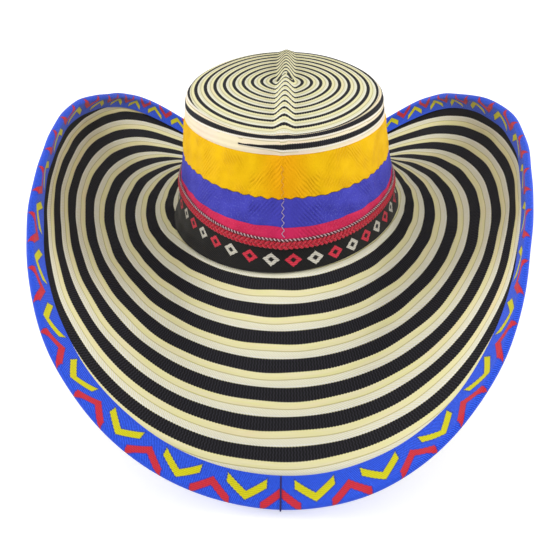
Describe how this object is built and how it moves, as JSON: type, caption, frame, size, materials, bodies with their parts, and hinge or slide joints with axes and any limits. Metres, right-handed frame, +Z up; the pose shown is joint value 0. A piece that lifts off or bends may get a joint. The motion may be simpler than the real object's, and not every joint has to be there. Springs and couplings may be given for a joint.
{
  "type": "sombrero",
  "caption": "Wide-brimmed braided-palm sombrero with a flat oval crown, coloured crown bands, patterned hatband and a ribbon-bound upswept brim.",
  "frame": {"origin": "on the ground under the middle of the hat, level with the lowest edge of the brim", "axes": "+Z up, -Y to the front of the hat, +X to the wearer's left"},
  "size_m": [0.3644, 0.4846, 0.1874],
  "materials": {
    "palm_braid": "matt",
    "binding_ribbon": "matt",
    "whipping_thread": "matt",
    "yellow_weave": "matt",
    "blue_weave": "matt",
    "red_weave": "matt",
    "cord_thread": "matt",
    "red_yarn": "matt",
    "hatband_weave": "matt",
    "seam_thread": "matt",
    "sweatband_cloth": "matt"
  },
  "bodies": {
    "root": {"brim_braid_turn_1": "palm_braid", "brim_braid_turn_2": "palm_braid", "brim_braid_turn_3": "palm_braid", "brim_braid_turn_4": "palm_braid", "brim_braid_turn_5": "palm_braid", "brim_braid_turn_6": "palm_braid", "brim_braid_turn_7": "palm_braid", "brim_braid_turn_8": "palm_braid", "brim_braid_turn_9": "palm_braid", "brim_braid_turn_10": "palm_braid", "brim_braid_turn_11": "palm_braid", "brim_braid_turn_12": "palm_braid", "brim_braid_turn_13": "palm_braid", "edge_binding": "binding_ribbon", "binding_join_whipping": "whipping_thread", "crown_wall": "palm_braid", "crown_tip_braid": "palm_braid", "crown_shoulder_braid": "palm_braid", "yellow_band": "yellow_weave", "blue_band": "blue_weave", "red_band": "red_weave", "twisted_cord": "cord_thread", "red_plaited_trim": "red_yarn", "hatband": "hatband_weave", "front_seam_stitching": "seam_thread", "sweatband": "sweatband_cloth", "sweatband_stitching": "seam_thread"}
  },
  "joints": []
}
